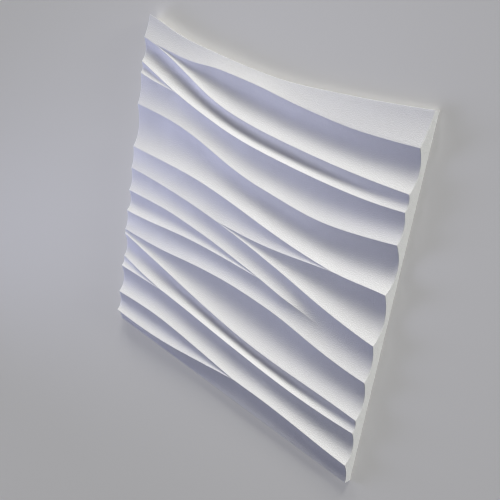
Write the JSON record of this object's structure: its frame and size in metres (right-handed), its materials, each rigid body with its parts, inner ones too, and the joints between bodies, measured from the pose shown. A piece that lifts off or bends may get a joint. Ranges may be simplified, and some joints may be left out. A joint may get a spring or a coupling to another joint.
{
  "type": "wall panel tile",
  "caption": "Square cast plaster wall tile with a relief of flowing dune crests and scooped hollows, a flat back and a dipped top edge.",
  "frame": {"origin": "middle of the flat back's bounding square", "axes": "+Z out of the relief face, +Y towards the top edge as the tile hangs on a wall, +X to the right as seen from the front"},
  "size_m": [0.5, 0.5, 0.02],
  "materials": {
    "plaster": "matt white cast gypsum plaster with a very fine grain"
  },
  "bodies": {
    "root": {"relief_tile": "plaster"}
  },
  "joints": []
}
